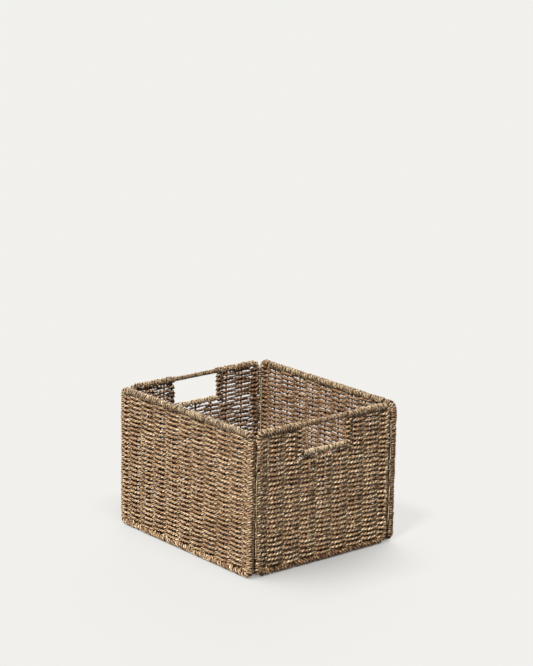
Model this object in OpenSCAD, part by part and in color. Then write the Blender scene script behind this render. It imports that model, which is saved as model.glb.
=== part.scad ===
// Rectangular seagrass basket: four wire-framed, woven walls laced together at
// the corners, with a woven base mat. The two end walls have a hand hole.
// Origin: centre of the footprint, on the surface that the basket stands on.
// X runs along the handle walls, Y along the long walls, Z is up.

/* [Basket] */
// Outer width, across the two handle walls
basket_width = 258; // [220:1:320]
// Outer length, along the two long walls
basket_length = 287; // [270:1:340]
// Height of the walls
basket_height = 200; // [170:1:260]

/* [Walls] */
// Diameter of a wrapped rim, which is also the depth of a wall
rim_diameter = 10.4; // [9.6:0.1:12]
// Thickness of the woven panel between the rims
weave_thickness = 9; // [7:0.1:9.4]
// Radius of the frame wire's corners, at the wire's centre
corner_radius = 6.3; // [6:0.1:10]
// Clear gap between a handle wall and a long wall at the corner
corner_gap = 2.2; // [2:0.1:4]

/* [Wires] */
// Diameter of the frame wire and of the hand-hole wire
frame_wire = 3.2; // [2.6:0.1:4]
// Diameter of the upright stakes that the weave runs round
stake_wire = 2.4; // [2:0.1:3]
// Stake intervals on a long wall
long_intervals = 10; // [8:2:12]
// Stake intervals on a handle wall
handle_intervals = 8; // [8:2:10]

/* [Hand holes] */
// Width of the hand hole
hand_hole_width = 76; // [70:1:90]
// Height of the hand hole
hand_hole_height = 32; // [26:1:45]
// Diameter of the wrapped grip bar over the hand hole
grip_diameter = 7; // [6:0.1:9]
// Diameter of the wrapped sill under the hand hole
sill_diameter = 8.4; // [7:0.1:9]

/* [Corner lacing] */
// Diameter of the lacing cord
lacing_cord = 1.6; // [1.2:0.1:1.7]
// Turns of cord on one corner
lacing_turns = 6; // [3:1:8]
// Height of the lowest turn, and its distance below the top for the highest
lacing_margin = 28; // [24:1:40]

/* [Base mat] */
// Thickness of the base mat's rolled border
mat_border = 5; // [4:0.1:6]
// Thickness of the woven mat inside its border
mat_thickness = 4.4; // [3.6:0.1:4.8]
// Clear gap between the mat and the walls
mat_gap = 2.1; // [2:0.1:4]
// Diameter of the cord that the mat turns on
hinge_cord = 1.5; // [1:0.1:1.6]

/* [Hidden] */
$fn = 40;
fit = 0.1;              // clearance of a wire in its fibre, all round the diameter
free = 0.3;             // clearance between pieces that turn against each other
flat_cut = 0.4;         // taken off the underside of a bottom rim, so that it rests on a flat
notch_play = 0.6;       // height of a lacing notch over the cord
turning_room = 1.2;     // depth of a handle wall's notches past its rim
past = 1;               // how far a cutting shape runs past the face it cuts

rim_r = rim_diameter / 2;
wire_low = rim_r - flat_cut;
wire_high = basket_height - rim_r;
long_span = basket_length - rim_diameter;
handle_wall_length = basket_width - 2 * rim_diameter - 2 * corner_gap;
handle_span = handle_wall_length - rim_diameter;
corner_pitch = rim_diameter + corner_gap;

leg_x = hand_hole_width / 2 + weave_thickness / 2;
hole_top = wire_high - grip_diameter / 2;
sill_z = hole_top - hand_hole_height - sill_diameter / 2;
sill_bend = 6;

lacing_r = frame_wire / 2 + free + lacing_cord / 2;
lacing_run_offset = lacing_r + 1.4;
lacing_step = (basket_height - 2 * lacing_margin) / (lacing_turns - 1);

mat_x = basket_width - 2 * rim_diameter - 2 * mat_gap;
mat_y = basket_length - 2 * rim_diameter - 2 * mat_gap;
hinge_x = -basket_width / 2 + rim_diameter + mat_gap / 2;
hinge_cord_length = mat_y - 8;
mat_bend = 8;

seagrass_light = [0.72, 0.62, 0.42];
seagrass_olive = [0.60, 0.52, 0.34];
seagrass_brown = [0.50, 0.40, 0.26];
cord_pale = [0.84, 0.78, 0.62];
wire_grey = [0.25, 0.24, 0.23];

// ---- Shared shapes. A wall stands along X, with its outer face towards +Y. ----

// A quarter ring in the XZ plane, from +X round to +Z, with its bend at the origin.
module elbow(bend, d) {
    rotate([90, 0, 0])
        rotate_extrude(angle = 90)
            translate([bend, 0])
                circle(d = d);
}

module rod_x(from, to, d) {
    translate([from, 0, 0])
        rotate([0, 90, 0])
            cylinder(d = d, h = to - from);
}

module rod_z(from, to, d) {
    translate([0, 0, from])
        cylinder(d = d, h = to - from);
}

// Straight rail between the bends of a frame, with both of its bends, at height z.
module rail_with_bends(span, z, up, d) {
    straight = span / 2 - corner_radius;
    translate([0, 0, z])
        mirror([0, 0, up ? 0 : 1])
            union() {
                rod_x(-straight, straight, d);
                for (side = [0, 1])
                    mirror([side, 0, 0])
                        translate([straight, 0, -corner_radius])
                            elbow(corner_radius, d);
            }
}

// The closed, round-cornered loop of wire that stiffens one wall.
module frame_loop(span, d) {
    union() {
        rail_with_bends(span, wire_high, true, d);
        rail_with_bends(span, wire_low, false, d);
        for (x = [-span / 2, span / 2])
            translate([x, 0, 0])
                rod_z(wire_low + corner_radius, wire_high - corner_radius, d);
    }
}

function stake_places(span, intervals) =
    [for (i = [1:intervals - 1]) -span / 2 + i * span / intervals];

function stake_top(x, has_hole) =
    has_hole && abs(x) < leg_x ? sill_z - frame_wire / 2 : wire_high - frame_wire / 2;

// Upright stakes, welded between the rails, or under the hand hole's wire.
module stake_set(span, intervals, has_hole, d) {
    for (x = stake_places(span, intervals))
        translate([x, 0, 0])
            rod_z(wire_low + frame_wire / 2, stake_top(x, has_hole), d);
}

// The U of wire round the hand hole, welded up to the top rail.
module hand_hole_loop(d) {
    straight = leg_x - sill_bend;
    translate([0, 0, sill_z])
        union() {
            rod_x(-straight, straight, d);
            for (side = [0, 1])
                mirror([side, 0, 0])
                    translate([straight, 0, sill_bend])
                        mirror([0, 0, 1])
                            elbow(sill_bend, d);
            for (x = [-leg_x, leg_x])
                translate([x, 0, 0])
                    rod_z(sill_bend, wire_high - frame_wire / 2 - sill_z, d);
        }
}

// All of a wall's wire, a little fat, to cut its place in the fibre.
module wire_clearance(span, intervals, has_hole) {
    frame_loop(span, frame_wire + fit);
    stake_set(span, intervals, has_hole, stake_wire + fit);
    if (has_hole)
        hand_hole_loop(frame_wire + fit);
}

// Plate in the XZ plane with round corners, centred on the wall's middle plane.
module round_plate(width, z0, z1, r, thickness) {
    rotate([90, 0, 0])
        linear_extrude(thickness, center = true)
            union() {
                translate([-width / 2 + r, z0])
                    square([width - 2 * r, z1 - z0]);
                translate([-width / 2, z0 + r])
                    square([width, z1 - z0 - 2 * r]);
                for (x = [-width / 2 + r, width / 2 - r])
                    for (z = [z0 + r, z1 - r])
                        translate([x, z])
                            circle(r);
            }
}

// ---- Fibre of one wall ----

module top_wrap(span, intervals, has_hole) {
    difference() {
        rail_with_bends(span, wire_high, true, rim_diameter);
        wire_clearance(span, intervals, has_hole);
        if (has_hole)
            translate([-hand_hole_width / 2, -rim_diameter, wire_high - rim_diameter])
                cube([hand_hole_width, 2 * rim_diameter, 2 * rim_diameter]);
    }
}

module bottom_wrap(span, intervals, has_hole) {
    difference() {
        rail_with_bends(span, wire_low, false, rim_diameter);
        wire_clearance(span, intervals, has_hole);
        translate([-span, -rim_diameter, -rim_diameter])
            cube([2 * span, 2 * rim_diameter, rim_diameter]);
    }
}

module grip_wrap() {
    half = hand_hole_width / 2 - fit;
    translate([0, 0, wire_high])
        difference() {
            rod_x(-half, half, grip_diameter);
            rod_x(-half - past, half + past, frame_wire + fit);
        }
}

module sill_wrap() {
    half = hand_hole_width / 2 - fit;
    difference() {
        translate([0, 0, sill_z])
            rod_x(-half, half, sill_diameter);
        hand_hole_loop(frame_wire + fit);
        stake_set(handle_span, handle_intervals, true, stake_wire + fit);
    }
}

// The woven panel with a round selvedge over each side wire.
module woven_panel(span) {
    union() {
        round_plate(span, wire_low, wire_high, corner_radius, weave_thickness);
        for (x = [-span / 2, span / 2])
            translate([x, 0, 0])
                rod_z(wire_low + corner_radius + fit, wire_high - corner_radius - fit,
                      rim_diameter);
    }
}

module rim_clearance(span) {
    rail_with_bends(span, wire_high, true, rim_diameter + fit);
    rail_with_bends(span, wire_low, false, rim_diameter + fit);
}

// Heights of the lacing cord's turns.
lacing_heights = [for (i = [0:lacing_turns - 1]) lacing_margin + i * lacing_step];

// Slots in a long wall for the cord that passes round its side wire.
module long_wall_notches() {
    reach = lacing_r + lacing_cord / 2 + fit;
    tall = lacing_cord + notch_play;
    for (z = lacing_heights)
        for (x = [-long_span / 2, long_span / 2])
            translate([x, 0, z - tall / 2]) {
                cylinder(r = reach, h = tall);
                translate([-reach, -rim_diameter, 0])
                    cube([2 * reach, rim_diameter, tall]);
            }
}

// Slots in a handle wall, open all round and past its faces' reach, so that it
// turns inside the cord.
module handle_wall_notches() {
    tall = lacing_cord + notch_play;
    for (z = lacing_heights)
        for (x = [-handle_span / 2, handle_span / 2])
            translate([x, 0, z - tall / 2])
                cylinder(r = rim_r + turning_room, h = tall);
}

module long_weave() {
    difference() {
        woven_panel(long_span);
        rim_clearance(long_span);
        wire_clearance(long_span, long_intervals, false);
        long_wall_notches();
    }
}

module hand_hole_cut() {
    translate([-leg_x, -rim_diameter, sill_z])
        cube([2 * leg_x, 2 * rim_diameter, basket_height - sill_z]);
    translate([0, 0, sill_z])
        rod_x(-hand_hole_width / 2, hand_hole_width / 2, sill_diameter + fit);
}

// Round edge of the weave, turned round the hand hole's upright wire.
module hand_hole_edges() {
    for (x = [-leg_x, leg_x])
        translate([x, 0, 0])
            rod_z(sill_z - sill_diameter / 2, wire_high, weave_thickness);
}

module handle_weave() {
    difference() {
        union() {
            difference() {
                woven_panel(handle_span);
                hand_hole_cut();
            }
            hand_hole_edges();
        }
        rim_clearance(handle_span);
        wire_clearance(handle_span, handle_intervals, true);
        handle_wall_notches();
    }
}

// ---- Corner lacing, drawn on a long wall's frame ----

// One turn of cord round the long wall's side wire and the handle wall's.
module lacing_turn() {
    union() {
        for (x = [-lacing_r, lacing_r])
            translate([x, 0, 0])
                rotate([90, 0, 0])
                    cylinder(d = lacing_cord, h = corner_pitch);
        rotate_extrude(angle = 180)
            translate([lacing_r, 0])
                circle(d = lacing_cord);
        translate([0, -corner_pitch, 0])
            rotate([0, 0, 180])
                rotate_extrude(angle = 180)
                    translate([lacing_r, 0])
                        circle(d = lacing_cord);
    }
}

// All turns of one corner, joined by the two runs of cord that show in the gap,
// outside and inside the basket.
module lacing(end) {
    union() {
        for (z = lacing_heights)
            translate([end * long_span / 2, 0, z])
                lacing_turn();
        for (run = [-lacing_run_offset, lacing_run_offset])
            translate([end * long_span / 2 + run, -corner_pitch / 2, 0])
                rod_z(lacing_heights[0], lacing_heights[lacing_turns - 1], lacing_cord);
    }
}

// ---- Places of the walls ----

module at_left_wall() {
    translate([-basket_width / 2 + rim_r, 0, 0])
        rotate([0, 0, 90])
            children();
}

module at_right_wall() {
    translate([basket_width / 2 - rim_r, 0, 0])
        rotate([0, 0, -90])
            children();
}

module at_front_wall() {
    translate([0, -basket_length / 2 + rim_r, 0])
        rotate([0, 0, 180])
            children();
}

module at_back_wall() {
    translate([0, basket_length / 2 - rim_r, 0])
        children();
}

// ---- Left and right walls ----

module left_frame_wire() {
    color(wire_grey) at_left_wall() frame_loop(long_span, frame_wire);
}

module left_stakes() {
    color(wire_grey) at_left_wall() stake_set(long_span, long_intervals, false, stake_wire);
}

module left_weave() {
    color(seagrass_light) at_left_wall() long_weave();
}

module left_top_wrap() {
    color(seagrass_light) at_left_wall() top_wrap(long_span, long_intervals, false);
}

module left_bottom_wrap() {
    color(seagrass_light) at_left_wall() bottom_wrap(long_span, long_intervals, false);
}

module right_frame_wire() {
    color(wire_grey) at_right_wall() frame_loop(long_span, frame_wire);
}

module right_stakes() {
    color(wire_grey) at_right_wall() stake_set(long_span, long_intervals, false, stake_wire);
}

module right_weave() {
    color(seagrass_light) at_right_wall() long_weave();
}

module right_top_wrap() {
    color(seagrass_light) at_right_wall() top_wrap(long_span, long_intervals, false);
}

module right_bottom_wrap() {
    color(seagrass_light) at_right_wall() bottom_wrap(long_span, long_intervals, false);
}

// ---- Front and back walls, with the hand holes ----

module front_frame_wire() {
    color(wire_grey) at_front_wall() frame_loop(handle_span, frame_wire);
}

module front_hand_hole_wire() {
    color(wire_grey) at_front_wall() hand_hole_loop(frame_wire);
}

module front_stakes() {
    color(wire_grey) at_front_wall() stake_set(handle_span, handle_intervals, true, stake_wire);
}

module front_weave() {
    color(seagrass_olive) at_front_wall() handle_weave();
}

module front_top_wrap() {
    color(seagrass_olive) at_front_wall() top_wrap(handle_span, handle_intervals, true);
}

module front_grip_wrap() {
    color(seagrass_olive) at_front_wall() grip_wrap();
}

module front_sill_wrap() {
    color(seagrass_olive) at_front_wall() sill_wrap();
}

module front_bottom_wrap() {
    color(seagrass_olive) at_front_wall() bottom_wrap(handle_span, handle_intervals, true);
}

module back_frame_wire() {
    color(wire_grey) at_back_wall() frame_loop(handle_span, frame_wire);
}

module back_hand_hole_wire() {
    color(wire_grey) at_back_wall() hand_hole_loop(frame_wire);
}

module back_stakes() {
    color(wire_grey) at_back_wall() stake_set(handle_span, handle_intervals, true, stake_wire);
}

module back_weave() {
    color(seagrass_olive) at_back_wall() handle_weave();
}

module back_top_wrap() {
    color(seagrass_olive) at_back_wall() top_wrap(handle_span, handle_intervals, true);
}

module back_grip_wrap() {
    color(seagrass_olive) at_back_wall() grip_wrap();
}

module back_sill_wrap() {
    color(seagrass_olive) at_back_wall() sill_wrap();
}

module back_bottom_wrap() {
    color(seagrass_olive) at_back_wall() bottom_wrap(handle_span, handle_intervals, true);
}

// ---- Corner lacing ----

module lacing_front_left() {
    color(cord_pale) at_left_wall() lacing(-1);
}

module lacing_back_left() {
    color(cord_pale) at_left_wall() lacing(1);
}

module lacing_front_right() {
    color(cord_pale) at_right_wall() lacing(1);
}

module lacing_back_right() {
    color(cord_pale) at_right_wall() lacing(-1);
}

// ---- Base ----

// The woven mat, with corners that follow the inside of its border.
module base_mat() {
    edge = 2 * mat_border + 2 * fit;
    inner_x = mat_x - edge;
    inner_y = mat_y - edge;
    color(seagrass_brown)
        translate([0, 0, mat_border / 2])
            rotate([90, 0, 0])
                round_plate(inner_x, -inner_y / 2, inner_y / 2,
                            mat_bend - mat_border / 2 - fit, mat_thickness);
}

// The rolled edge of the mat, with round corners.
module base_border() {
    r = mat_border / 2;
    straight_x = mat_x / 2 - r - mat_bend;
    straight_y = mat_y / 2 - r - mat_bend;
    color(seagrass_brown)
        translate([0, 0, r])
            union() {
                for (side = [0, 1])
                    mirror([0, side, 0])
                        translate([0, mat_y / 2 - r, 0])
                            rod_x(-straight_x, straight_x, mat_border);
                for (side = [0, 1])
                    mirror([side, 0, 0])
                        translate([mat_x / 2 - r, 0, 0])
                            rotate([0, 0, 90])
                                rod_x(-straight_y, straight_y, mat_border);
                for (turn = [0, 1], flip = [0, 1])
                    mirror([turn, 0, 0])
                        mirror([0, flip, 0])
                            translate([straight_x, straight_y, 0])
                                rotate_extrude(angle = 90)
                                    translate([mat_bend, 0])
                                        circle(d = mat_border);
            }
}

// The cord along the left wall that the mat lifts about.
module base_hinge_cord() {
    color(cord_pale)
        translate([hinge_x, 0, mat_border / 2])
            rotate([0, 0, 90])
                rod_x(-hinge_cord_length / 2, hinge_cord_length / 2, hinge_cord);
}

left_frame_wire();
left_stakes();
left_weave();
left_top_wrap();
left_bottom_wrap();
right_frame_wire();
right_stakes();
right_weave();
right_top_wrap();
right_bottom_wrap();
front_frame_wire();
front_hand_hole_wire();
front_stakes();
front_weave();
front_top_wrap();
front_grip_wrap();
front_sill_wrap();
front_bottom_wrap();
back_frame_wire();
back_hand_hole_wire();
back_stakes();
back_weave();
back_top_wrap();
back_grip_wrap();
back_sill_wrap();
back_bottom_wrap();
lacing_front_left();
lacing_back_left();
lacing_front_right();
lacing_back_right();
base_mat();
base_border();
base_hinge_cord();
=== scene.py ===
import math

import bpy
import numpy as np
from mathutils import Matrix, Vector


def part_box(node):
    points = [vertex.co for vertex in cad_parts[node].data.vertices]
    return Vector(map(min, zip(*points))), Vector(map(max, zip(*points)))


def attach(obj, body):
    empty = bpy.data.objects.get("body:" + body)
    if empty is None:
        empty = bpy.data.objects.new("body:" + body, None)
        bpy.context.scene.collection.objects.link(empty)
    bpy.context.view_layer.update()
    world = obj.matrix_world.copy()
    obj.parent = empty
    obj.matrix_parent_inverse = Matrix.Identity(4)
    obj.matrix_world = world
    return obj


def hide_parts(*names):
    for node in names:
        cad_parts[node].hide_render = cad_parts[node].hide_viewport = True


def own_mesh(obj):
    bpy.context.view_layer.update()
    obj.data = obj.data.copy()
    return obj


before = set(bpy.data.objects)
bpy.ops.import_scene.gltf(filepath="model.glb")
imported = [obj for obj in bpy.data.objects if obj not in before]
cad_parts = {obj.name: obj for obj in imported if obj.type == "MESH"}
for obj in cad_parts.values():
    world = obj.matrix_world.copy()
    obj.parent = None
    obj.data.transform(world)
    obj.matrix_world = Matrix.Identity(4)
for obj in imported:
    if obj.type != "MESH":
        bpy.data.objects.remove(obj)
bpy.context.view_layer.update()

MM = 0.001
UP = np.array([0.0, 0.0, 1.0])
SEED = 11

# ---- Cords, in metres ----

RING = 1.45 * MM              # distance between the rings of a weaving cord's mesh
TURN_RING = 0.8 * RING        # the same where it turns back
WOUND_RING = 1.15 * MM        # the same for a wound cord, along its middle
SIDES = 8                     # corners of a cord's section
THIN_SIDES = 6                # corners of a thin cord's section
PLY = 0.41                    # how far a two-ply section's plies stand from its middle
CORD_LAY = 10.8 * MM          # length in which the weaving cord's plies turn once
TWINE_LAY = 4.2 * MM          # the same for the lacing and the mat's hinge cord
STRAND_SCALE = 100            # units of the strand map in a metre of cord
PATTERN_SHIFT = 10            # a cord's pattern starts anywhere within this many metres
STRIP_GAP = 0.5 * MM          # between the strips of the bake map

# ---- Painted shade: how open a cord is to the light ----

WOVEN_DEPTH = (-0.8 * MM, 1.3 * MM)     # distances from the plane that count as 0 and as 1
WOUND_DEPTH = (-0.75, 0.5)              # the same for a wound cord, in radii from its middle
SIDE_CHANGE = 2 * MM                    # depth in which a wall's inside becomes its outside
EDGE = (0.3, 0.9)                       # where a section begins to face the next row, and does
EDGE_PAINTED_SHADE = 0.86                       # how much painted shade darkens it there

# Painted shade on the insides of the walls: how open to the light they are, against their
# outsides.
PAINTED_INSIDE_LIGHT = {"left": 0.8, "right": 0.6, "front": 0.75, "back": 0.5}

# ---- Walls ----

ROW_COUNT = 56
ROW_END = 1.25 * MM           # from the outermost rows to the rims
ROWS_IN_PIECE = 7
CORD_SWING = 2.85 * MM        # from a wall's middle plane to a cord that passes an upright
CORD_RADIUS = 2.28 * MM
CORD_HIGH = 1.06              # how much higher than wide its section is at an upright
SILL_ROOM = 0.6               # least room under the sill's winding, in cord radii
END_BULGE = 1.14              # how much wider the turns at a row's end are
RISE_SLACK = 0.2              # radians by which a turn reaches the next row early
ROUND_SHARE = 0.62            # how much of a row's wave is a cosine and not a zigzag
STAKE_COUNT = {"left": 9, "right": 9, "front": 7, "back": 7}
OUTWARD = {"left": (-1, 0, 0), "right": (1, 0, 0), "front": (0, -1, 0), "back": (0, 1, 0)}

# What is random along a weaving cord, each with its wavelength: its own path and a slower
# sway, with their shares of the wander, the swing, and the coarse and the fine thickness.
OWN_SHARE, OWN_WAVE = 0.55, 16 * MM
SLOW_SHARE, SLOW_WAVE = 0.45, 45 * MM
SWING_NOISE, SWING_WAVE = 0.1, 30 * MM
UNEVEN_WAVE = 22 * MM
FINE_NOISE, FINE_WAVE = 0.05, 5 * MM

# How far a cord wanders and the rows drift together, how uneven and how thick a cord is, and
# how much flatter it is between the uprights.
LOOK = {"left": {"wander": 0.62 * MM, "drift": 0.7 * MM, "uneven": 0.10, "thick": 1.0,
                 "squeeze": 0.2},
        "front": {"wander": 0.66 * MM, "drift": 0.7 * MM, "uneven": 0.10, "thick": 1.06,
                  "squeeze": 0.2},
        "right": {"wander": 0.7 * MM, "drift": 0.8 * MM, "uneven": 0.13, "thick": 1.06,
                  "squeeze": 0.25},
        "back": {"wander": 1.25 * MM, "drift": 1.0 * MM, "uneven": 0.17, "thick": 1.1,
                 "squeeze": 0.45}}

# ---- Windings ----

PAST_BEND = 3 * MM            # how far a rim's winding goes on past the bend
HOOK_END = 3 * MM             # no turn hooks nearer than this to the bend
HOOK_RANGE = (0.35, 1.25)     # least and most of a hook, against its usual depth
SWAY = 0.34                   # how far a turn strays along the rail, in pitches
WOUND_NOISE = 0.1             # how uneven a wound cord is

# pitch is from turn to turn. width and height are the cord's, against half of the winding's
# thickness. Every second turn hooks lower by hook, and bumps is how far turns stand out or in.
WINDING = {
    "top": {"pitch": 4.2 * MM, "width": 1.22, "height": 1.0, "hook": 2.6 * MM,
            "bumps": 0.3 * MM},
    "bottom": {"pitch": 4.2 * MM, "width": 1.22, "height": 1.0, "hook": 2.4 * MM,
               "bumps": 0.3 * MM},
    "grip": {"pitch": 2.9 * MM, "width": 1.5, "height": 1.05, "hook": 0.0,
             "bumps": 0.12 * MM},
    "sill": {"pitch": 4.0 * MM, "width": 1.45, "height": 1.1, "hook": 2.4 * MM,
             "bumps": 0.3 * MM},
    "border": {"pitch": 3.1 * MM, "width": 1.6, "height": 1.0, "hook": 0.0,
               "bumps": 0.1 * MM}}

# ---- Corner lacing ----

LACE_RADIUS = 0.8 * MM
LACE_WIDE = 1.05              # how much wider than high the lacing's section is
LACE_TURNS = 6                # turns round the side wires of a corner
LACE_STEPS = 6                # points on each side of a turn
RUN_POINTS = 14               # points of a run between two turns
RUN_OFFSET = 1.4 * MM         # how much farther out the runs lie than the turns
RUN_SWAY = 0.35 * MM          # sideways, of the runs between the turns
INNER_SWAY = 0.3 * MM         # the same for the run down the inside
INNER_WAVE = 0.08             # wavelength of that sway, as a share of the run
INNER_POINTS = 90
TURN_RISE = 0.45 * MM         # a turn rises by twice this
TURN_ROOM = 1 * MM            # a run begins and ends this far from the turns

# ---- Base ----

MAT_ROWS = 68
MAT_ROWS_IN_PIECE = 17
MAT_SWING = 1.15 * MM
MAT_RADIUS = 1.6 * MM         # of its cord before it is pressed flat
MAT_SPREAD = 1.3              # how much wider the cord is woven
MAT_FLAT = 0.62               # what is left of its thickness then
MAT_LOOK = {"wander": 0.4 * MM, "uneven": 0.1, "squeeze": 0.2}
WARP_COUNT = 19
WARP_RADIUS = 0.6 * MM
WARP_LAY = 5 * MM
CORE_STEP = 4 * MM            # between the rings of a warp and of the border's core
CORE_LAY = 8 * MM
BORDER_ROPE = 0.9 * MM        # radius of the cord wound round the border, and of its core
BORDER_BEND = 8 * MM          # radius of the mat's corners, along the border's middle
HINGE_POINTS = 160


# ---- Random curves ----

def ease(t):
    """From 0 to 1, level at both ends."""
    return t * t * (3 - 2 * t)


def smooth_noise(rng, x, wavelength):
    """A random curve from -1 to 1 over x, with its turns a wavelength apart or more."""
    place = (x - x.min()) / wavelength
    knots = rng.uniform(-1, 1, int(place.max()) + 3)
    first = place.astype(int)
    t = ease(place - first)
    return knots[first] * (1 - t) + knots[first + 1] * t


def drift_field(rng, wall):
    """A random surface from -1 to 1 over a wall, 12 cells wide and 9 high."""
    across, up = 12, 9
    knots = rng.uniform(-1, 1, (across + 4, up + 3))

    def field(u, w):
        x = (u / wall.span + 0.55) * across     # u goes a little past the side wires
        y = w / wall.high * up
        ix, iy = x.astype(int), y.astype(int)
        tx, ty = ease(x - ix), ease(y - iy)
        near = knots[ix, iy] * (1 - tx) + knots[ix + 1, iy] * tx
        far = knots[ix, iy + 1] * (1 - tx) + knots[ix + 1, iy + 1] * tx
        return near * (1 - ty) + far * ty

    return field


def shifted(rng, arc):
    """The lengths along a cord from a random start, so that no two cords look alike."""
    return arc + PATTERN_SHIFT * rng.uniform()


# ---- Cords as swept meshes ----

def unit(vectors):
    return vectors / np.linalg.norm(vectors, axis=-1, keepdims=True)


def length_along(path):
    steps = np.linalg.norm(np.diff(path, axis=0), axis=1)
    return np.concatenate([[0.0], np.cumsum(steps)])


def share(value, low, high):
    """How far the value is on its way from low to high, from 0 to 1."""
    return np.clip((value - low) / (high - low), 0, 1)


def painted_light_level(points, upward, plane, wound):
    """How open each place on a cord is to the light, for painted shade: 0 deep between the
    cords, 1 on the outside.

    upward is how far a place is up the section, in radii. A cord woven in a plane is open away
    from the plane, with painted shade above and below, where it faces the next rows, and more
    painted shade on the plane's inner side. A wound cord is open on its upper side, which is
    its outer one, with painted shade below.
    """
    if plane is not None:
        depth = (points - plane.origin) @ plane.outward
        level = ease(share(np.abs(depth), *WOVEN_DEPTH))
        level = level * (1 - EDGE_PAINTED_SHADE * share(np.abs(upward), *EDGE))
        outside = np.clip(0.5 + depth / SIDE_CHANGE, 0, 1)
        return level * (plane.inside + (1 - plane.inside) * outside)
    if wound:
        return ease(share(upward, *WOUND_DEPTH))
    return np.ones(len(points))


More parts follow.
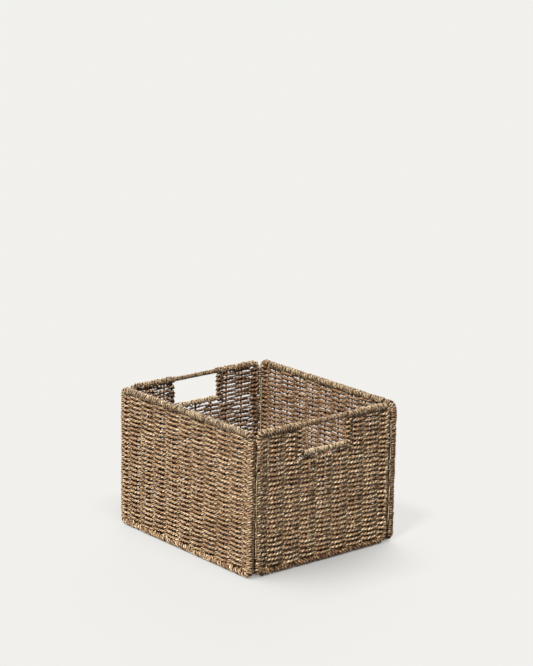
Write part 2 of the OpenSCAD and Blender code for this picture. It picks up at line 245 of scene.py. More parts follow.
class Cords:
    """Collects swept two-ply cords and makes one mesh of them.

    The map named strand holds the length along the cord, in steps of 10 mm, and the
    place round it, from 0 to 1. The attribute named open holds painted shade: how open the
    cord is to the light. The map named OFBake lays each cord's skin out as one long strip,
    folded into rows that fill a square, to bake into.
    """

    def __init__(self):
        self.points, self.loops, self.starts, self.maps = [], [], [], []
        self.open, self.strips = [], []
        self.point_count = self.loop_count = 0

    def add(self, path, ref, width, height, arc, lay, sides=SIDES, plane=None, wound=False):
        """Sweep a section along the path. ref stays at right angles to its width.

        width and height are half of the section's. arc is the length at each point of the path.
        """
        n = len(path)
        tangent = unit(np.gradient(path, axis=0))
        across = unit(np.cross(tangent, ref))
        upward = np.cross(across, tangent)
        around = 2 * math.pi * np.arange(sides) / sides
        reach = PLY * np.abs(np.cos(around))
        reach = reach + np.sqrt((1 - PLY) ** 2 - (PLY * np.sin(around)) ** 2)
        angle = around[None, :] + (2 * math.pi * arc / lay)[:, None]
        width = np.broadcast_to(width, n)[:, None]
        height = np.broadcast_to(height, n)[:, None]
        x = width * reach * np.cos(angle)
        y = height * reach * np.sin(angle)
        rings = path[:, None] + x[..., None] * across[:, None] + y[..., None] * upward[:, None]
        points = rings.reshape(-1, 3)
        self.points.append(points)
        self.open.append(painted_light_level(points, (reach * np.sin(angle)).ravel(), plane, wound))
        self.strips.append((arc - arc[0], sides, 2 * math.pi * float(width.max())))
        self.add_strand_map(arc * STRAND_SCALE, sides)
        self.add_faces(n, sides)

    def add_faces(self, n, sides):
        """Four-sided faces between the rings, and a cap on each end."""
        row = np.arange(n - 1)[:, None] * sides
        here = np.arange(sides)[None, :]
        there = (here + 1) % sides
        quads = np.stack([row + here, row + sides + here, row + sides + there, row + there], -1)
        quads = quads.reshape(-1, 4) + self.point_count
        caps = np.stack([np.arange(sides), (n - 1) * sides + np.arange(sides)[::-1]])
        self.loops += [quads.ravel(), (caps + self.point_count).ravel()]
        first = self.loop_count + 4 * np.arange(len(quads))
        ends = self.loop_count + 4 * len(quads) + sides * np.arange(2)
        self.starts += [first, ends]
        self.point_count += n * sides
        self.loop_count += 4 * len(quads) + 2 * sides

    def add_strand_map(self, along, sides):
        shape = (len(along) - 1, sides)
        low = np.broadcast_to(along[:-1, None], shape)
        high = np.broadcast_to(along[1:, None], shape)
        turn = np.broadcast_to(np.arange(sides)[None, :] / sides, shape)
        u = np.stack([low, high, high, low], -1)
        v = np.stack([turn, turn, turn + 1 / sides, turn + 1 / sides], -1)
        cap_map = np.zeros((2 * sides, 2))
        cap_map[:sides, 0], cap_map[sides:, 0] = along[0], along[-1]
        self.maps += [np.stack([u, v], -1).reshape(-1, 2), cap_map]

    def bake_map(self):
        """Strips as long and wide as the cords' skins, and the caps as small discs on them.

        A strip that comes to the end of a row goes on at the start of the next row.
        """
        step = max(float(np.diff(arc).max()) for arc, _, _ in self.strips)
        total = sum(float(arc[-1]) + step for arc, _, _ in self.strips)
        row = max(girth for _, _, girth in self.strips) + STRIP_GAP
        side = math.sqrt(total * row) + step
        while math.ceil(total / (side - step)) * row > side:
            side *= 1.01
        row_length = side - step
        maps, begin = [], 0.0
        for arc, sides, _ in self.strips:
            place = begin + arc[:-1]
            line = np.floor(place / row_length)
            low = (place - line * row_length)[:, None] * np.ones(sides)
            high = low + np.diff(arc)[:, None]
            near = line[:, None] * row + STRIP_GAP / 2
            near = near + (row - STRIP_GAP) * np.arange(sides) / sides
            far = near + (row - STRIP_GAP) / sides
            quads = np.stack([np.stack([low, high, high, low], -1),
                              np.stack([near, near, far, far], -1)], -1)
            turn = 2 * math.pi * np.arange(sides) / sides
            disc = np.stack([np.cos(turn), np.sin(turn)], -1) * STRIP_GAP / 4
            first, last = quads[0, 0, 0] + STRIP_GAP, quads[-1, 0, 0] + STRIP_GAP
            maps += [quads.reshape(-1, 2), disc + first, disc + last]
            begin += float(arc[-1]) + step
        return np.concatenate(maps) / side

    def make(self, name, material):
        points = np.concatenate(self.points)
        points[:, 2] = np.maximum(points[:, 2], 0)      # nothing sinks into the floor
        loops, starts = np.concatenate(self.loops), np.concatenate(self.starts)
        mesh = bpy.data.meshes.new(name)
        mesh.vertices.add(len(points))
        mesh.vertices.foreach_set("co", points.astype(np.float32).ravel())
        mesh.loops.add(len(loops))
        mesh.loops.foreach_set("vertex_index", loops.astype(np.int32))
        mesh.polygons.add(len(starts))
        mesh.polygons.foreach_set("loop_start", starts.astype(np.int32))
        mesh.polygons.foreach_set("use_smooth", np.ones(len(starts), bool))
        strand = mesh.uv_layers.new(name="strand")
        strand.data.foreach_set("uv", np.concatenate(self.maps).astype(np.float32).ravel())
        bake = mesh.uv_layers.new(name="OFBake")
        bake.data.foreach_set("uv", self.bake_map().astype(np.float32).ravel())
        levels = mesh.attributes.new("open", "FLOAT", "POINT")
        levels.data.foreach_set("value", np.concatenate(self.open).astype(np.float32))
        mesh.update(calc_edges=True)
        mesh.validate()
        mesh.materials.append(material)
        piece = bpy.data.objects.new(name, mesh)
        bpy.context.scene.collection.objects.link(piece)
        return piece


def settle(piece, body, slot, *nodes):
    """The piece stands for these nodes and rides on their body."""
    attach(piece, body)
    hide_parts(*nodes)


# ---- Materials ----

def srgb(r, g, b):
    def linear(c):
        c = c / 255
        return c / 12.92 if c <= 0.04045 else ((c + 0.055) / 1.055) ** 2.4
    return (linear(r), linear(g), linear(b), 1.0)


class Nodes:
    """A new material, built node by node."""

    def __init__(self, name):
        self.material = bpy.data.materials.new(name)
        self.material.use_nodes = True
        self.tree = self.material.node_tree
        self.tree.nodes.clear()

    def add(self, kind, values=None, **settings):
        node = self.tree.nodes.new("ShaderNode" + kind)
        for key, value in settings.items():
            setattr(node, key, value)
        for key, value in (values or {}).items():
            if isinstance(value, bpy.types.NodeSocket):
                self.tree.links.new(value, node.inputs[key])
            else:
                node.inputs[key].default_value = value
        return node

    def math(self, operation, a, b=0.0):
        return self.add("Math", {0: a, 1: b}, operation=operation).outputs[0]

    def vector(self, x, y, z):
        return self.add("CombineXYZ", {"X": x, "Y": y, "Z": z}).outputs["Vector"]

    def remap(self, value, low, high, to_low=0.0, to_high=1.0):
        values = {"Value": value, "From Min": low, "From Max": high,
                  "To Min": to_low, "To Max": to_high}
        return self.add("MapRange", values).outputs["Result"]

    def noise(self, vector, scale, detail=2.0, roughness=0.5):
        values = {"Vector": vector, "Scale": scale, "Detail": detail, "Roughness": roughness}
        return self.add("TexNoise", values).outputs["Fac"]

    def ramp(self, value, stops):
        node = self.add("ValToRGB", {"Fac": value})
        elements = node.color_ramp.elements
        while len(elements) < len(stops):
            elements.new(0.5)
        for element, (place, colour) in zip(elements, stops):
            element.position = place
            element.color = colour
        return node.outputs["Color"]

    def multiply(self, colour, other):
        node = self.add("Mix", data_type="RGBA", blend_type="MULTIPLY")
        node.inputs["Factor"].default_value = 1.0
        self.tree.links.new(colour, node.inputs[6])
        self.tree.links.new(other, node.inputs[7])
        return node.outputs[2]

    def finish(self, values):
        shader = self.add("BsdfPrincipled", values)
        self.add("OutputMaterial", {"Surface": shader.outputs[0]})
        return self.material


# Colours of seagrass and twine from dark to light, over the mixed pattern of a cord.
GRASS = [(0.16, srgb(64, 36, 20)), (0.36, srgb(132, 96, 61)), (0.52, srgb(188, 158, 116)),
         (0.64, srgb(230, 211, 174)), (0.77, srgb(255, 248, 226))]
# BROWN serves only the bottom windings of the walls with a hand hole, darkened for wear and deeper
# painted shade.
BROWN = [(0.16, srgb(56, 30, 16)), (0.36, srgb(114, 78, 46)), (0.52, srgb(164, 130, 90)),
         (0.68, srgb(208, 180, 138)), (0.86, srgb(240, 222, 190))]
STRAW = [(0.16, srgb(58, 36, 20)), (0.36, srgb(118, 93, 65)), (0.52, srgb(166, 144, 111)),
         (0.68, srgb(202, 185, 153)), (0.86, srgb(234, 222, 196))]
PALE = [(0.0, srgb(176, 156, 118)), (0.5, srgb(216, 202, 166)), (1.0, srgb(244, 236, 210))]

# Painted shade: what multiplies a colour, from deep between the cords to the open.
PAINTED_SHADE_COLOURS = [(0.0, (0.03, 0.007, 0.002, 1.0)), (0.3, (0.19, 0.08, 0.032, 1.0)),
          (0.65, (0.64, 0.52, 0.42, 1.0)), (1.0, (1.0, 1.0, 1.0, 1.0))]
DEEPEST_PAINTED_SHADE = 0.2                 # painted shade where a cord isn't open at all
TINT_SHARE = 0.36             # of each ply's own tint in the mixed pattern
STREAK_SHARE = 0.4
SPECK_SHARE = 0.3


def fibre(name, stops, tint_shift=0.0, streaks=1.0, groove=0.16, tint_length=1.9):
    """Twisted plant fibre: each ply has its own tint, with fine streaks and specks along it, and
    painted shade from the attribute named open.

    streaks is how strong those are, groove is the painted shade between the plies, and
    tint_length is how slowly the tint changes along the cord, in steps of the strand map.
    """
    n = Nodes(name)
    strand = n.add("UVMap", uv_map="strand").outputs["UV"]
    split = n.add("SeparateXYZ", {"Vector": strand})
    along, round_ = split.outputs["X"], split.outputs["Y"]
    angle = n.math("MULTIPLY", round_, 2 * math.pi)
    across, upward = n.math("COSINE", angle), n.math("SINE", angle)

    place = n.vector(n.math("DIVIDE", along, tint_length), n.math("MULTIPLY", across, 1.1), 3.7)
    tint = n.remap(n.noise(place, scale=1.0), 0.3, 0.7)
    place = n.vector(n.math("MULTIPLY", along, 0.12), across, upward)
    streak = n.remap(n.noise(place, scale=5.5, detail=3.0, roughness=0.62), 0.32, 0.68)
    place = n.vector(n.math("MULTIPLY", along, 1.3), across, upward)
    speck = n.remap(n.noise(place, scale=2.2), 0.35, 0.65)

    mixed = n.math("MULTIPLY", tint, TINT_SHARE)
    mixed = n.math("ADD", mixed, n.math("MULTIPLY", streak, STREAK_SHARE * streaks))
    mixed = n.math("ADD", mixed, n.math("MULTIPLY", speck, SPECK_SHARE * streaks))
    mixed = n.math("ADD", mixed, tint_shift)
    # Painted shade: darker in the groove between the plies and where the cord isn't open.
    shade = n.remap(n.math("ABSOLUTE", across), 0.0, 0.6, groove, 1.0)
    painted_light = n.add("Attribute", attribute_name="open").outputs["Fac"]
    shade = n.math("MULTIPLY", shade, n.remap(painted_light, 0.0, 1.0, DEEPEST_PAINTED_SHADE, 1.0))

    height = n.math("ADD", n.math("MULTIPLY", streak, 0.7), n.math("MULTIPLY", speck, 0.3))
    bump = n.add("Bump", {"Height": height, "Strength": 0.8, "Distance": 0.5 * MM})
    return n.finish({"Base Color": n.multiply(n.ramp(mixed, stops), n.ramp(shade, PAINTED_SHADE_COLOURS)),
                     "Roughness": n.remap(streak, 0.0, 1.0, 0.6, 0.36),
                     "Normal": bump.outputs["Normal"],
                     "Specular IOR Level": 0.5})


def steel(name):
    """Wire with a dull dark coat that is a little uneven."""
    n = Nodes(name)
    place = n.add("TexCoord").outputs["Object"]
    cloud = n.remap(n.noise(place, scale=90.0, detail=4.0), 0.3, 0.7)
    grain = n.noise(place, scale=1400.0)
    bump = n.add("Bump", {"Height": grain, "Strength": 0.25, "Distance": 0.1 * MM})
    return n.finish({"Base Color": n.ramp(cloud, [(0.0, srgb(42, 31, 23)),
                                                  (1.0, srgb(74, 56, 42))]),
                     "Metallic": 0.35,
                     "Roughness": n.remap(cloud, 0.0, 1.0, 0.45, 0.65),
                     "Normal": bump.outputs["Normal"]})


woven = fibre("woven_seagrass", GRASS)
wrapped = fibre("wrapped_seagrass", STRAW, tint_shift=-0.09, tint_length=2.6)
wrapped_sill = fibre("wrapped_seagrass_sill", STRAW, tint_shift=0.06, tint_length=2.6)
# Darker copies for the bottom windings, for wear and painted shade at the bottom; the walls with a
# hand hole get deeper painted shade.
wrapped_worn_and_shaded = fibre("wrapped_seagrass_low", GRASS, tint_shift=-0.1, tint_length=2.6)
wrapped_worn_and_deep_shaded = fibre("wrapped_seagrass_foot", BROWN, tint_shift=-0.13, tint_length=2.6)
matting = fibre("base_seagrass", GRASS, tint_shift=-0.02)
lacing_fibre = fibre("lacing_fibre", PALE, streaks=0.8, groove=0.55)
wire_coat = steel("wire_coat")


# ---- Frames in which a wall or the mat lies flat ----

def box(node):
    """The low and the high corner of a CAD node's box."""
    low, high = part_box(node)
    return np.array(low), np.array(high)


class Plane:
    """along and upward lie in the plane, and outward is its normal."""

    inside = 1.0        # painted light on the side away from outward, against the other side

    def __init__(self, origin, along, outward, upward=UP):
        self.origin, self.along = np.array(origin, float), np.array(along, float)
        self.outward, self.upward = np.array(outward, float), np.array(upward, float)

    def direction(self, u, v, w):
        return (np.multiply.outer(u, self.along) + np.multiply.outer(v, self.outward)
                + np.multiply.outer(w, self.upward))

    def point(self, u, v, w):
        return (self.origin + np.multiply.outer(u, self.along)
                + np.multiply.outer(v, self.outward) + np.multiply.outer(w, self.upward))


class Wall(Plane):
    """A wall's plane, with the sizes that its CAD nodes give."""

    def __init__(self, name):
        low, high = box(name + "_frame_wire")
        outward = np.array(OUTWARD[name], float)
        along = np.array([outward[1], -outward[0], 0.0])
        middle = (low + high) / 2
        super().__init__([middle[0], middle[1], 0], along, outward)
        self.name, self.body = name, name + "_wall"
        self.inside = PAINTED_INSIDE_LIGHT[name]
        self.wire = self.size(name + "_frame_wire", outward)
        self.span = self.size(name + "_frame_wire", along) - self.wire
        self.low, self.high = low[2] + self.wire / 2, high[2] - self.wire / 2
        self.rim = self.size(name + "_top_wrap", outward) / 2
        self.bend = self.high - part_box(name + "_top_wrap")[0].z
        stake = self.size(name + "_stakes", outward)
        reach = self.size(name + "_stakes", along) / 2 - stake / 2
        self.stakes = np.linspace(-reach, reach, STAKE_COUNT[name])
        self.hole = name in ("front", "back")
        if self.hole:
            hole_wire = name + "_hand_hole_wire"
            self.leg = self.size(hole_wire, along) / 2 - self.wire / 2
            self.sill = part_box(hole_wire)[0].z + self.wire / 2
            self.grip_rim = self.size(name + "_grip_wrap", outward) / 2
            self.grip_reach = self.size(name + "_grip_wrap", along) / 2
            self.sill_rim = self.size(name + "_sill_wrap", outward) / 2

    @staticmethod
    def size(node, axis):
        low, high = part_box(node)
        return float(np.abs(np.dot(np.array(high - low), axis)))

    def rail(self, s, top):
        """Centre u and z, and the outward normal, at the length s from a rail's middle."""
        straight = self.span / 2 - self.bend
        angle = np.clip((np.abs(s) - straight) / self.bend, 0, math.pi / 2)
        side = np.sign(s)
        u = np.where(np.abs(s) < straight, s, side * (straight + self.bend * np.sin(angle)))
        beyond = np.maximum(np.abs(s) - straight - self.bend * math.pi / 2, 0)
        drop = self.bend * (1 - np.cos(angle)) + beyond
        sign = 1 if top else -1
        z = (self.high if top else self.low) - sign * drop
        return u, z, side * np.sin(angle), sign * np.cos(angle)

    def top_rail(self, s):
        return self.rail(s, True)

    def bottom_rail(self, s):
        return self.rail(s, False)

    def sill_rail(self, s):
        return s, np.full(len(s), self.sill), np.zeros(len(s)), np.ones(len(s))

    def rail_end(self):
        return self.span / 2 - self.bend + self.bend * math.pi / 2 + PAST_BEND


# ---- Weaving ----

def to_and_fro(uprights, numbers, heights, swing, extra_turns):
    """A cord that runs to and fro round the uprights, one row at each height.

    It takes extra_turns (at the first upright, at the last) whole turns more there. It gives the
    cord's u, its share of the swing, its w, and the index at which each row starts.
    """
    least_points, least_turn_points = 5, 6

    def face(number):
        return 1 if number % 2 == 0 else -1

    parts, starts = [], []
    for j, (number, height) in enumerate(zip(numbers, heights)):
        starts.append(sum(len(u) for u, v, w in parts))
        order = np.arange(len(uprights))[::-1 if j % 2 else 1]
        for a, b in zip(order[:-1], order[1:]):
            gap = uprights[b] - uprights[a]
            n = max(least_points, int(round(abs(gap) / RING)))
            t = np.arange(n) / n
            wave = ROUND_SHARE * np.cos(math.pi * t) + (1 - ROUND_SHARE) * (1 - 2 * t)
            parts.append((uprights[a] + gap * t, face(number + a) * wave, np.full(n, height)))
        last = order[-1]
        if j + 1 == len(heights):
            parts.append(([uprights[last]], [face(number + last)], [height]))
            break
        half_turns = 1 + 2 * extra_turns[0 if last == 0 else 1]
        n = max(least_turn_points, int(round(half_turns * math.pi * swing / TURN_RING)))
        turn = half_turns * math.pi * (np.arange(n) / n)
        way = np.sign(uprights[last] - uprights[order[-2]])
        rise = np.clip((turn - math.pi / 2) / (turn[-1] - math.pi + RISE_SLACK), 0, 1)
        inside = np.minimum(turn, half_turns * math.pi - turn) / (math.pi / 2)
        bulge = 1 + (END_BULGE - 1) * np.clip(inside, 0, 1)
        parts.append((uprights[last] + way * swing * bulge * np.sin(turn),
                      face(number + last) * bulge * np.cos(turn),
                      height + (heights[j + 1] - height) * rise))
    u, v, w = (np.concatenate(column) for column in zip(*parts))
    return u, v, w, starts + [len(u)]


def weave(plane, rng, uprights, numbers, heights, swing, radius, look, field=None,
          extra_turns=(1, 1)):
    """The cord of one stretch of weaving, and where its rows start."""
    u, v, w, starts = to_and_fro(uprights, numbers, heights, swing, extra_turns)
    rough = length_along(np.stack([u, v * swing, w], -1))
    own = smooth_noise(rng, rough, OWN_WAVE)
    slow = smooth_noise(rng, rough, SLOW_WAVE)
    lift = look["wander"] * (OWN_SHARE * own + SLOW_SHARE * slow)
    if field is not None:
        lift = lift + look["drift"] * field(u, w)
    v = v * swing * (1 + SWING_NOISE * smooth_noise(rng, rough, SWING_WAVE))
    path = plane.point(u, v, w + lift)
    thick = radius * (1 + look["uneven"] * smooth_noise(rng, rough, UNEVEN_WAVE)
                      + FINE_NOISE * smooth_noise(rng, rough, FINE_WAVE))
    squeeze = 1 - look["squeeze"] * (1 - np.abs(v) / swing).clip(0, 1)
    return {"path": path, "ref": plane.upward, "width": thick,
            "height": CORD_HIGH * thick * squeeze,
            "arc": shifted(rng, length_along(path)), "starts": starts}


def cut(run, first, last):
    """The part of a run of weaving from row first up to row last, as Cords.add takes it."""
    a, b = run["starts"][first], run["starts"][last] + 1
    part = {key: run[key][a:b] for key in ("path", "width", "height", "arc")}
    return {"ref": run["ref"], "lay": CORD_LAY, **part}


def make_weave(wall, rng):
    look = LOOK[wall.name]
    heights = np.linspace(wall.low + wall.rim + ROW_END, wall.high - wall.rim - ROW_END,
                          ROW_COUNT)
    numbers = np.arange(ROW_COUNT)
    uprights = np.concatenate([[-wall.span / 2], wall.stakes, [wall.span / 2]])
    radius = CORD_RADIUS * look["thick"]
    field = drift_field(rng, wall)
    full = ROW_COUNT
    if wall.hole:
        full = int(np.sum(heights < wall.sill - wall.sill_rim - SILL_ROOM * radius))
    run = weave(wall, rng, uprights, numbers[:full], heights[:full], CORD_SWING, radius,
                look, field)
    pieces = [[cut(run, first, min(first + ROWS_IN_PIECE, full))]
              for first in range(0, full, ROWS_IN_PIECE)]
    if wall.hole:
        # Beside the hand hole a stretch of its own runs between each side wire and the hole's.
        left = uprights[uprights < -wall.leg]
        right_shift = len(uprights) - len(left) - 1
        beside = []
        for marks, shift, extra_turns in ((np.append(left, -wall.leg), 0, (1, 0)),
                                          (np.append(wall.leg, -left[::-1]), right_shift, (0, 1))):
            run = weave(wall, rng, marks, numbers[full:] + shift, heights[full:], CORD_SWING,
                        radius, look, field, extra_turns)
            beside.append(cut(run, 0, ROW_COUNT - full))
        pieces.append(beside)
    for i, parts in enumerate(pieces):
        cords = Cords()
        for part in parts:
            cords.add(plane=wall, **part)
        piece = cords.make(f"{wall.name}_weave_rows_{i + 1}", woven)
        settle(piece, wall.body, "woven_seagrass", wall.name + "_weave")


# ---- Winding ----

def wind(cords, plane, rng, start, end, centre, turn_r, rope, pitch, width, height, hook,
         bumps, hook_reach=math.inf):
    """A cord wound round a rail from s = start to s = end, its middle turn_r from the rail's.

    centre(s) gives u, z and the rail's outward normal. Turns hook only where s is between
    -hook_reach and hook_reach.
    """
    turns = int(round((end - start) / pitch))
    per_turn = max(9, int(round(2 * math.pi * turn_r / WOUND_RING)))
    theta = 2 * math.pi * np.arange(turns * per_turn + 1) / per_turn
    s = start + (end - start) * theta / theta[-1]
    sway = smooth_noise(rng, theta, 2 * math.pi)
    s = s + SWAY * pitch * sway * np.minimum(1, np.minimum(s - start, end - s) / pitch)
    u, z, nu, nz = centre(s)
    radial = turn_r + bumps * smooth_noise(rng, theta, 1.6 * math.pi)
    cos, sin = np.cos(theta), np.sin(theta)
    radial_n = radial * cos
    if hook:
        turn = (theta / (2 * math.pi)).astype(int)
        depth = hook * rng.uniform(*HOOK_RANGE, turns + 2) * (np.arange(turns + 2) % 2)
        inside = np.abs(s) < hook_reach
        radial_n = radial_n - depth[turn] * inside * np.clip(-cos, 0, 1) ** 2
    path = plane.point(u + nu * radial_n, radial * sin, z + nz * radial_n)
    ref = plane.direction(nu * cos, sin, nz * cos)
    thick = 1 + WOUND_NOISE * smooth_noise(rng, theta, 2.4 * math.pi)
    cords.add(path, ref, width * rope * thick, height * rope * thick,
              shifted(rng, length_along(path)), CORD_LAY, wound=True)


def make_winding(wall, rng, kind, rim, centre, stretches, material, hook_reach=math.inf):
    """A rail's winding, as thick as its CAD node, in one or more stretches of s."""
    rope = (rim - wall.wire / 2) / 2
    cords = Cords()
    for start, end in stretches:
        wind(cords, wall, rng, start, end, centre, wall.wire / 2 + rope, rope,
             hook_reach=hook_reach, **WINDING[kind])
    piece = cords.make(f"{wall.name}_{kind}_wrap_cord", material)
    settle(piece, wall.body, "wrapped_seagrass", f"{wall.name}_{kind}_wrap")


def make_windings(wall, rng):
    end = wall.rail_end()
    hook_reach = wall.span / 2 - wall.bend - HOOK_END
    top = [(-end, end)]
    if wall.hole:
        top = [(-end, -wall.grip_reach), (wall.grip_reach, end)]
    make_winding(wall, rng, "top", wall.rim, wall.top_rail, top, wrapped, hook_reach)
    # The bottom windings take the darker copies: wear and painted shade, deeper on the walls with
    # a hand hole.
    make_winding(wall, rng, "bottom", wall.rim, wall.bottom_rail, [(-end, end)],
                 wrapped_worn_and_deep_shaded if wall.hole else wrapped_worn_and_shaded, hook_reach)
    if wall.hole:
        hole = [(-wall.grip_reach, wall.grip_reach)]
        make_winding(wall, rng, "grip", wall.grip_rim, wall.top_rail, hole, wrapped)
        make_winding(wall, rng, "sill", wall.sill_rim, wall.sill_rail, hole, wrapped_sill)


# ---- Corner lacing ----

def lace_turn(pitch, reach):
    """x and y of a turn round two wires, from the middle of the gap back to it."""
    t = np.linspace(0, 1, LACE_STEPS + 1)[:-1]
    middle = pitch / 2
    x = np.concatenate([middle + (pitch - middle) * t, pitch + reach * np.sin(math.pi * t),
                        pitch - pitch * t, -reach * np.sin(math.pi * t),
                        middle * np.append(t, 1.0)])
    y = np.concatenate([np.full(LACE_STEPS, reach), reach * np.cos(math.pi * t),
                        np.full(LACE_STEPS, -reach), -reach * np.cos(math.pi * t),
                        np.full(LACE_STEPS + 1, reach)])
    return x, y


def make_lacing(wall, other, end, rng):
    """A cord up the outside of a corner, with a turn at each height, and one down the inside.

    wall is the long wall, other is the handle wall, and end is the long wall's end, 1 or -1.
    """
    node = f"lacing_{other.name}_{wall.name}"
    low, high = box(node)
    corner = wall.origin[:2] + end * wall.along[:2] * wall.span / 2
    far = other.origin[:2] + wall.outward[:2] * other.span / 2
    pitch = np.linalg.norm(corner - far)
    middle = pitch / 2
    run_at = wall.size(node, other.outward) / 2 - LACE_RADIUS
    reach = run_at - RUN_OFFSET
    heights = np.linspace(low[2] + LACE_RADIUS, high[2] - LACE_RADIUS, LACE_TURNS)
    inward = -wall.outward

    def at(x, y, z):
        """x is from the long wall's side wire towards the other wall's, and y is outward."""
        base = np.array([corner[0], corner[1], 0.0])
        return base + np.multiply.outer(x, inward) + np.multiply.outer(y, other.outward) \
            + np.multiply.outer(z, UP)

    x, y = lace_turn(pitch, reach)
    rise = TURN_RISE * np.linspace(-1, 1, len(x))
    t = np.linspace(0, 1, RUN_POINTS + 2)[1:-1]
    bulge = RUN_OFFSET * np.clip(8 * t * (1 - t), 0, 1)
    parts = []
    for i, z in enumerate(heights):
        parts.append(at(x, y, z + rise))
        if i + 1 < len(heights):
            run = heights[i + 1] - z - 2 * TURN_ROOM
            parts.append(at(middle + RUN_SWAY * np.sin(5 * t + i), reach + bulge,
                            z + TURN_ROOM + run * t))
    t = np.linspace(0, 1, INNER_POINTS)
    sway = INNER_SWAY * smooth_noise(rng, t, INNER_WAVE)
    inner = at(middle + sway, np.full(INNER_POINTS, -run_at),
               heights[-1] - (heights[-1] - heights[0]) * t)
    cords = Cords()
    for line in (np.concatenate(parts), inner):
        tangent = unit(np.gradient(line, axis=0))
        # Upright stretches take another ref than level ones.
        ref = np.where(np.abs(tangent @ UP)[:, None] > 0.7, inward[None, :], UP[None, :])
        cords.add(line, ref, LACE_RADIUS * LACE_WIDE, LACE_RADIUS,
                  shifted(rng, length_along(line)), TWINE_LAY, THIN_SIDES)
    settle(cords.make(node + "_cord", lacing_fibre), wall.body, "lacing_cord", node)


# ---- Base ----

def plain_cord(cords, line, ref, radius, lay):
    """A thin cord that is as thick all along."""
    cords.add(line, ref, radius, radius, length_along(line), lay, THIN_SIDES)


def make_mat(plane, rng):
    """Flat rows of one cord round thin warps. The cord is pressed flat all over."""
    low, high = box("base_mat")
    half_x, half_y = (high[0] - low[0]) / 2, (high[1] - low[1]) / 2
    heights = np.linspace(-half_y + MAT_RADIUS, half_y - MAT_RADIUS, MAT_ROWS)
    warp_end = half_x - MAT_SWING - MAT_RADIUS
    warps = np.linspace(-warp_end, warp_end, WARP_COUNT)
    run = weave(plane, rng, warps, np.arange(MAT_ROWS), heights, MAT_SWING,
                MAT_RADIUS * MAT_SPREAD, MAT_LOOK, extra_turns=(0, 0))
    run["width"] = run["width"] * MAT_FLAT
    for i, first in enumerate(range(0, MAT_ROWS, MAT_ROWS_IN_PIECE)):
        cords = Cords()
        cords.add(plane=plane, **cut(run, first, first + MAT_ROWS_IN_PIECE))
        if i == 0:
            y = np.arange(-half_y, half_y, CORE_STEP)
            for x in warps:
                line = plane.point(np.full(len(y), x), np.zeros(len(y)), y)
                plain_cord(cords, line, plane.along, WARP_RADIUS, WARP_LAY)
        piece = cords.make(f"base_mat_rows_{i + 1}", matting)
        settle(piece, "base", "base_seagrass", "base_mat")
        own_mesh(piece)


def round_rectangle(side_x, side_y, bend):
    """The length of a rectangle with round corners, and the function of its places.

    side_x and side_y are half of the straight stretches. The function gives u, w and the
    outward normal at the length s.
    """
    arc = math.pi / 2 * bend
    lengths = [2 * side_x, arc, 2 * side_y, arc] * 2
    total = sum(lengths)
    corners = [(side_x, -side_y), (side_x, side_y), (-side_x, side_y), (-side_x, -side_y)]
    ways = [(1, 0), (0, 1), (-1, 0), (0, -1)]

    def place(s):
        s = np.mod(s, total)
        u, w, nu, nw = np.zeros((4, len(s)))
        begin = 0.0
        for k, ((cx, cy), (dx, dy)) in enumerate(zip(corners, ways)):
            run_length = lengths[2 * k]
            here = (s >= begin) & (s < begin + run_length)
            back = run_length - (s[here] - begin)
            u[here] = cx - dx * back + dy * bend
            w[here] = cy - dy * back - dx * bend
            nu[here], nw[here] = dy, -dx
            begin += run_length
            here = (s >= begin) & (s <= begin + arc)
            angle = (s[here] - begin) / bend
            nu[here] = dy * np.cos(angle) + dx * np.sin(angle)
            nw[here] = -dx * np.cos(angle) + dy * np.sin(angle)
            u[here] = cx + bend * nu[here]
            w[here] = cy + bend * nw[here]
            begin += arc
        return u, w, nu, nw

    return total, place


def make_border(plane, rng):
    """A cord wound round a core, all round the mat."""
    low, high = box("base_border")
    rim = (high[2] - low[2]) / 2
    total, place = round_rectangle((high[0] - low[0]) / 2 - rim - BORDER_BEND,
                                   (high[1] - low[1]) / 2 - rim - BORDER_BEND, BORDER_BEND)
    cords = Cords()
    wind(cords, plane, rng, 0.0, total, place, rim - BORDER_ROPE, BORDER_ROPE,
         **WINDING["border"])
    u, w, nu, nw = place(np.append(np.arange(0, total, CORE_STEP), total))
    core = plane.point(u, np.zeros(len(u)), w)
    plain_cord(cords, core, plane.outward, BORDER_ROPE, CORE_LAY)
    piece = cords.make("base_border_cord", matting)
    settle(piece, "base", "base_seagrass", "base_border")
    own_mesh(piece)


def make_hinge():
    """The cord along the left wall that the mat turns on."""
    low, high = box("base_hinge_cord")
    middle = (low + high) / 2
    line = np.tile(middle, (HINGE_POINTS, 1))
    line[:, 1] = np.linspace(low[1], high[1], HINGE_POINTS)
    cords = Cords()
    plain_cord(cords, line, UP, (high[2] - low[2]) / 2, TWINE_LAY)
    piece = cords.make("base_hinge_twine", lacing_fibre)
    settle(piece, "left_wall", "lacing_cord", "base_hinge_cord")


def make_base(rng):
    low, high = box("base_border")
    middle = (low + high) / 2
    plane = Plane(middle, (1, 0, 0), (0, 0, 1), (0, 1, 0))
    make_mat(plane, rng)
    make_border(plane, rng)
    make_hinge()


# ---- The whole basket ----

rng = np.random.default_rng(SEED)
walls = {name: Wall(name) for name in ("left", "right", "front", "back")}
for wall in walls.values():
    make_weave(wall, rng)
    make_windings(wall, rng)
for long_wall, front_end in (("left", -1), ("right", 1)):
    make_lacing(walls[long_wall], walls["front"], front_end, rng)
    make_lacing(walls[long_wall], walls["back"], -front_end, rng)
make_base(rng)

for name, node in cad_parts.items():
    if name.endswith("_wire") or name.endswith("_stakes"):
        node.data.materials.clear()
        node.data.materials.append(wire_coat)


# ---- Floor, light and camera ----

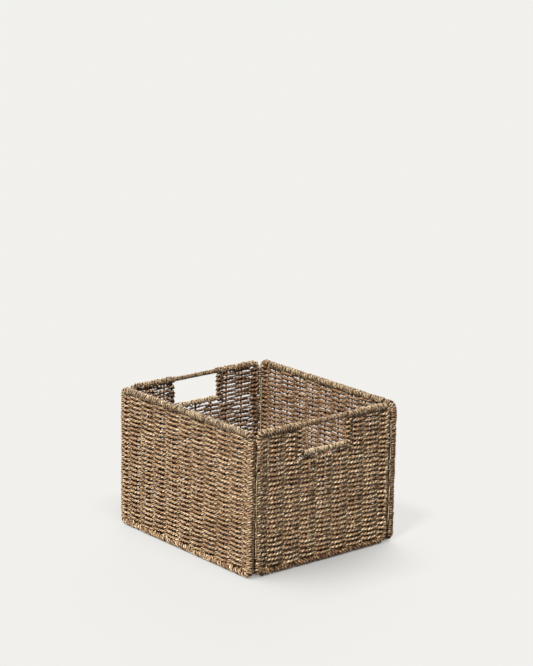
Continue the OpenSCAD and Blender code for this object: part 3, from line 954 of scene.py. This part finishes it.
FLOOR = 12.0                  # half of the floor's side
FLOOR_DROP = 0.2 * MM         # the floor lies this far under the basket
FLOOR_GLOW = 0.735            # strength of its emission where nothing shades it
SHADOW_REACH = 0.13           # how near the basket has to be to shade it
SHADOW_LEAN = (7.0, 0.6)      # sideways for each metre from the basket's middle, and upward
SUNLIGHT = (1.0, 0.985, 0.95)
SENSOR = 36.0                 # millimetres, as the lens
LENS = 116.4
CAMERA_PLACE = (-1.8054, -2.1774, 0.9985)
CAMERA_BACK = (-0.6217, -0.7441, 0.2448)    # from what it looks at towards the camera
CAMERA_ROLL = math.radians(0.92)


def floor_material():
    """Mostly emissive, with a soft contact shadow painted into its glow from ambient occlusion.

    The occlusion looks away from the left and right walls, so it shades the floor along the
    front and back walls only.
    """
    n = Nodes("pale_floor")
    x = n.add("SeparateXYZ", {"Vector": n.add("TexCoord").outputs["Object"]}).outputs["X"]
    sideways, upward = SHADOW_LEAN
    lean = n.vector(n.math("MULTIPLY", x, sideways), 0.0, upward)
    lean = n.add("VectorMath", {0: lean}, operation="NORMALIZE").outputs["Vector"]
    painted_shadow = n.add("AmbientOcclusion", {"Normal": lean, "Distance": SHADOW_REACH}, samples=12)
    return n.finish({"Base Color": (0.05, 0.05, 0.049, 1.0), "Roughness": 0.9,
                     "Specular IOR Level": 0.0,
                     "Emission Color": (1.0, 0.991, 0.958, 1.0),
                     "Emission Strength": n.math("MULTIPLY", painted_shadow.outputs["AO"], FLOOR_GLOW)})


def make_floor():
    mesh = bpy.data.meshes.new("floor")
    mesh.from_pydata([(-FLOOR, -FLOOR, 0), (FLOOR, -FLOOR, 0), (FLOOR, FLOOR, 0),
                      (-FLOOR, FLOOR, 0)], [], [(0, 1, 2, 3)])
    mesh.materials.append(floor_material())
    floor = bpy.data.objects.new("floor", mesh)
    floor.location.z = -FLOOR_DROP
    bpy.context.scene.collection.objects.link(floor)
    floor.visible_diffuse = False       # it sends no light up under the cords


def sky(colour, strength):
    world = bpy.data.worlds.new("studio")
    world.use_nodes = True
    background = world.node_tree.nodes["Background"]
    background.inputs["Color"].default_value = colour
    background.inputs["Strength"].default_value = strength
    bpy.context.scene.world = world


def sun(name, energy, spread, from_way):
    """A distant light, spread over that many degrees, which shines from that direction."""
    light = bpy.data.lights.new(name, "SUN")
    light.energy = energy
    light.angle = math.radians(spread)
    light.color = SUNLIGHT
    holder = bpy.data.objects.new(name, light)
    holder.rotation_mode = "QUATERNION"
    holder.rotation_quaternion = Vector(from_way).to_track_quat("Z", "Y")
    bpy.context.scene.collection.objects.link(holder)


def make_camera():
    data = bpy.data.cameras.new("camera")
    data.lens = LENS
    data.sensor_width = SENSOR
    camera = bpy.data.objects.new("camera", data)
    back = Vector(CAMERA_BACK).normalized()
    right = Vector((0, 0, 1)).cross(back).normalized()
    top = back.cross(right)
    x_axis = right * math.cos(CAMERA_ROLL) + top * math.sin(CAMERA_ROLL)
    y_axis = top * math.cos(CAMERA_ROLL) - right * math.sin(CAMERA_ROLL)
    turned = Matrix((x_axis, y_axis, back)).transposed().to_4x4()
    camera.matrix_world = Matrix.Translation(CAMERA_PLACE) @ turned
    bpy.context.scene.collection.objects.link(camera)
    bpy.context.scene.camera = camera


make_floor()
sky((1.0, 0.95, 0.88, 1.0), 0.28)
sun("key", 7.2, 9, (-0.51, -0.21, 0.83))
sun("overhead", 0.9, 60, (0.02, 0.34, 0.94))
sun("behind", 3.4, 40, (0.62, 0.62, 0.48))
make_camera()
bpy.context.scene.view_settings.view_transform = "Standard"

bpy.context.view_layer.update()
